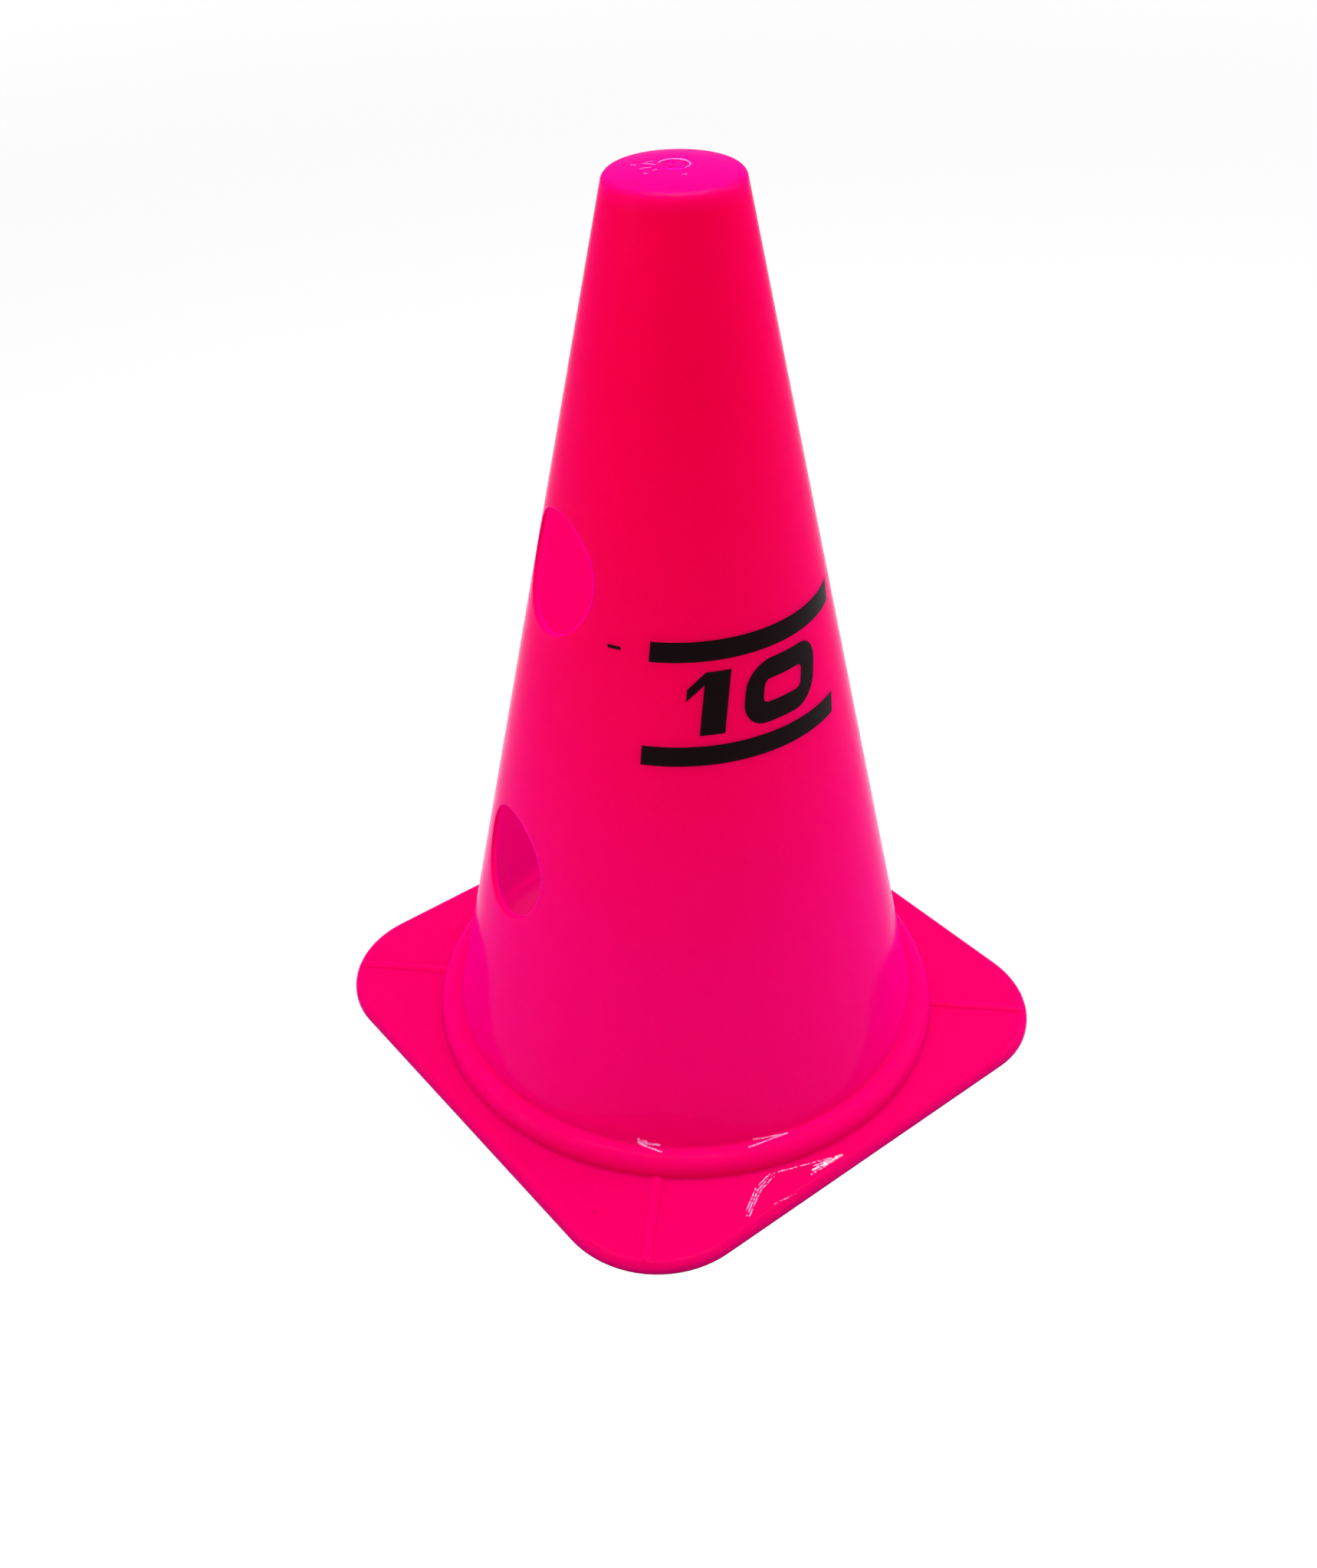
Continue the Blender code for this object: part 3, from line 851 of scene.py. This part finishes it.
def makePlastic():
    look = pinkPlastic
    material, wire = newMaterial("pink_gloss_plastic")
    place = wire.node("ShaderNodeTexCoord", output="Object")
    cloud = noise(wire, place, look["cloud"])
    flat = wire.vector("MULTIPLY", place, (1, 1, 0))
    radius = wire.vector("LENGTH", flat, output="Value")
    height = wire.node("ShaderNodeSeparateXYZ", inputs={0: place}, output="Z")
    paintedHighlightsAndScratches, paintedPlateWhiteHighlight = scratchAndHighlightMask(wire, place, flat, height)
    # the pink, with painted light and shade by height
    pinkWithPaintedLightByHeight = heightRamp(wire, height, look["pinkWithPaintedLight"])
    colour = wire.mix(cloud, wire.mix(1.0, pinkWithPaintedLightByHeight, look["deepening"], "MULTIPLY"), pinkWithPaintedLightByHeight)
    # a small darker spot on the plate
    fromDarkSpot = wire.vector("DISTANCE", flat, scratchesAndPaintedHighlights["darkSpotPlace"], output="Value")
    darkSpot = wire.fade(fromDarkSpot, scratchesAndPaintedHighlights["darkSpotRadius"], 0, most=scratchesAndPaintedHighlights["darkSpotStrength"])
    colour = wire.mix(darkSpot, colour, scratchesAndPaintedHighlights["darkSpotColour"])
    # painted highlight on the pole holes' cut faces and edges
    colour = wire.mix(paintedHoleEdgeLightMask(wire, place), colour, look["paintedHoleEdgeLight"])
    # painted highlights and scratches, in pale pink
    colour = wire.mix(paintedHighlightsAndScratches, colour, scratchesAndPaintedHighlights["colour"])
    # the brightest parts of the plate's painted reflection, painted nearly white
    colour = wire.mix(paintedPlateWhiteHighlight, colour, scratchesAndPaintedHighlights["paintedHighlightWhite"])
    roughness = look["roughness"] + (cloud - noiseMiddle) * look["roughnessSpread"]
    roughness = roughness + paintedHighlightsAndScratches * scratchesAndPaintedHighlights["roughness"]
    wavy = bump(wire, noise(wire, place, look["waves"]), look["waveHeight"])
    normal = bump(wire, noise(wire, place, look["grain"]), look["grainHeight"], Normal=wavy)
    # the inner faces, which lie deeper than this behind the outer ones, glow with painted daylight
    depth = look["throughDepth"]
    inside = wire.sum("LESS_THAN", radius + height * wallSlope, wall["footRadius"] - depth)
    inside = inside * wire.sum("LESS_THAN", height, coneHeight - depth)
    facing = wire.node("ShaderNodeLayerWeight", inputs={"Blend": look["facingBlend"]}, output="Facing")
    gloss = wire.fade(facing, look["glossEdgeStart"], look["glossEdgeEnd"], look["glossEdge"], look["gloss"])
    gloss = gloss + wire.fade(height, coneHeight - wall["topRound"], coneHeight, look["topGloss"])
    # painted light: the glow of the inner faces
    paintedInnerGlow = wire.mix(inside, (0, 0, 0, 1), heightRamp(wire, height, look["paintedDaylightGlow"]))
    shader = wire.node("ShaderNodeBsdfPrincipled", {"subsurface_method": "RANDOM_WALK"}, {
        "Base Color": colour,
        "Roughness": roughness,
        "IOR": look["refraction"],
        "Specular Tint": look["specularTint"],
        "Sheen Weight": look["bloom"],
        "Sheen Tint": look["bloomTint"],
        "Sheen Roughness": look["bloomRoughness"],
        "Subsurface Weight": look["glow"],
        "Subsurface Radius": look["glowReach"],
        "Subsurface Scale": look["glowScale"],
        "Coat Weight": gloss,
        "Coat Roughness": look["glossRoughness"],
        "Coat IOR": look["glossRefraction"],
        "Emission Color": paintedInnerGlow,
        "Emission Strength": 1.0,
        "Normal": normal,
    })
    finishMaterial(wire, shader)
    return material


# black pad-printed ink, half gloss
blackInk = {
    "colour": (0.0050, 0.0012, 0.0020, 1.0),
    "greyColour": (0.0090, 0.0030, 0.0045, 1.0),
    "refraction": 1.12,
    "roughness": 0.38,
    "roughnessSpread": 0.12,
    # the patterns of noise: scale and detail
    "mottle": (260.0, 4.0),
    "grain": (1500.0, 2.0),
    "grainHeight": 0.001 * mm,
}


def makeInk():
    look = blackInk
    material, wire = newMaterial("black_print_ink")
    place = wire.node("ShaderNodeTexCoord", output="Object")
    mottle = noise(wire, place, look["mottle"])
    colour = wire.mix(mottle, look["colour"], look["greyColour"])
    normal = bump(wire, noise(wire, place, look["grain"]), look["grainHeight"])
    shader = wire.node("ShaderNodeBsdfPrincipled", inputs={
        "Base Color": colour,
        "Roughness": look["roughness"] + (mottle - noiseMiddle) * look["roughnessSpread"],
        "IOR": look["refraction"],
        "Normal": normal,
    })
    finishMaterial(wire, shader)
    return material


def dress(piece, material, nodes):
    piece.data.materials.clear()
    piece.data.materials.append(material)
    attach(piece, "root")
    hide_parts(*nodes)


dress(buildCone(), makePlastic(), ["cone_shell"])
ink = makeInk()
for node, film in buildPrint().items():
    dress(film, ink, [node])
note("finishes given")

# a white room: a pale floor, a soft sky, soft boxes and two small lamps
studio = {
    "floorSize": 8.0,
    "floorColour": (0.80, 0.80, 0.80, 1.0),
    # painted light: inside the base, the floor seen through the lower hole glows pink, standing in for the
    # light that the wall tints there
    "paintedPinkFloorLight": (0.95, 0.0, 0.15, 1.0),
    "floorPaper": 0.80,
    "whiteFrom": 0.35,
    "whiteTo": 1.4,
    "skyFront": 0.41,
    "skyBack": 0.38,
    "skyTurn": 0.8,
    # the sky has this share of its strength low down, and all of it high up
    "skyLowShare": 0.6,
    "skyLow": 0.17,
    "skyHigh": 0.77,
    # place, size across and up, power
    "softBoxes": (
        ((0.10, 0.05, 1.10), (0.9, 0.9), 12.0),
        ((-0.75, 0.25, 0.55), (0.6, 0.8), 2.4),
        ((0.80, -0.35, 0.55), (0.6, 0.8), 2.4),
    ),
    "smallLamps": (
        ((-0.04, -0.04, 1.00), (0.12, 0.08), 0.6),
        ((0.22, -0.35, 0.93), (0.12, 0.08), 0.6),
    ),
    "aim": (0, 0, 0.08),
}


def buildSky():
    world = bpy.data.worlds.new("white_room")
    world.use_nodes = True
    world.node_tree.nodes.clear()
    bpy.context.scene.world = world
    wire = Wire(world.node_tree)
    direction = wire.node("ShaderNodeTexCoord", output="Generated")
    azimuth = camera["lookAzimuth"]
    behind = (math.cos(azimuth), math.sin(azimuth), 0)
    towards = wire.vector("DOT_PRODUCT", direction, behind, output="Value")
    blend = wire.fade(towards, -studio["skyTurn"], studio["skyTurn"], studio["skyBack"], studio["skyFront"])
    up = wire.node("ShaderNodeSeparateXYZ", inputs={0: direction}, output="Z")
    rise = wire.fade(up, studio["skyLow"], studio["skyHigh"], least=studio["skyLowShare"])
    path = wire.node("ShaderNodeLightPath", output="Is Camera Ray")
    strength = blend * rise * (1 - path) + path
    light = wire.node("ShaderNodeBackground", inputs={"Color": (1, 1, 1, 1), "Strength": strength})
    wire.node("ShaderNodeOutputWorld", inputs={"Surface": light})


def buildFloor():
    clearSelection()
    bpy.ops.mesh.primitive_plane_add(size=studio["floorSize"])
    floor = bpy.context.object
    floor.name = "floor"
    material, wire = newMaterial("white_floor")
    path = wire.node("ShaderNodeLightPath", output="Is Camera Ray")
    lit = wire.node("ShaderNodeBsdfDiffuse", inputs={"Color": studio["floorColour"]})
    place = wire.node("ShaderNodeNewGeometry", output="Position")
    flat = wire.vector("MULTIPLY", place, (1, 1, 0))
    fromAxis = wire.vector("LENGTH", flat, output="Value")
    outside = wire.sum("GREATER_THAN", fromAxis, baseSide / 2 - wall["thickness"])
    # painted light: the floor glows pink inside the base
    paper = wire.node("ShaderNodeEmission",
                      inputs={"Color": wire.mix(outside, studio["paintedPinkFloorLight"], (1, 1, 1, 1)), "Strength": 1.0})
    share = wire.fade(fromAxis, studio["whiteFrom"], studio["whiteTo"], least=studio["floorPaper"])
    shader = wire.node("ShaderNodeMixShader", inputs={0: path * share, 1: lit, 2: paper})
    # from below the floor is clear, so that the hollow underside can be seen
    below = wire.node("ShaderNodeNewGeometry", output="Backfacing")
    clear = wire.node("ShaderNodeBsdfTransparent")
    shader = wire.node("ShaderNodeMixShader", inputs={0: path * below, 1: shader, 2: clear})
    finishMaterial(wire, shader)
    floor.data.materials.append(material)


def buildLamps():
    for index, (place, size, power) in enumerate(studio["softBoxes"] + studio["smallLamps"]):
        bpy.ops.object.light_add(type="AREA", location=place)
        lamp = bpy.context.object
        lamp.name = f"soft_box_{index}"
        lamp.data.shape = "RECTANGLE"
        lamp.data.size, lamp.data.size_y = size
        lamp.data.energy = power
        aim = Vector(studio["aim"]) - Vector(place)
        lamp.rotation_euler = aim.to_track_quat("-Z", "Y").to_euler()


buildSky()
buildFloor()
buildLamps()
bpy.context.scene.view_settings.view_transform = "Standard"
note("room and lamps set")
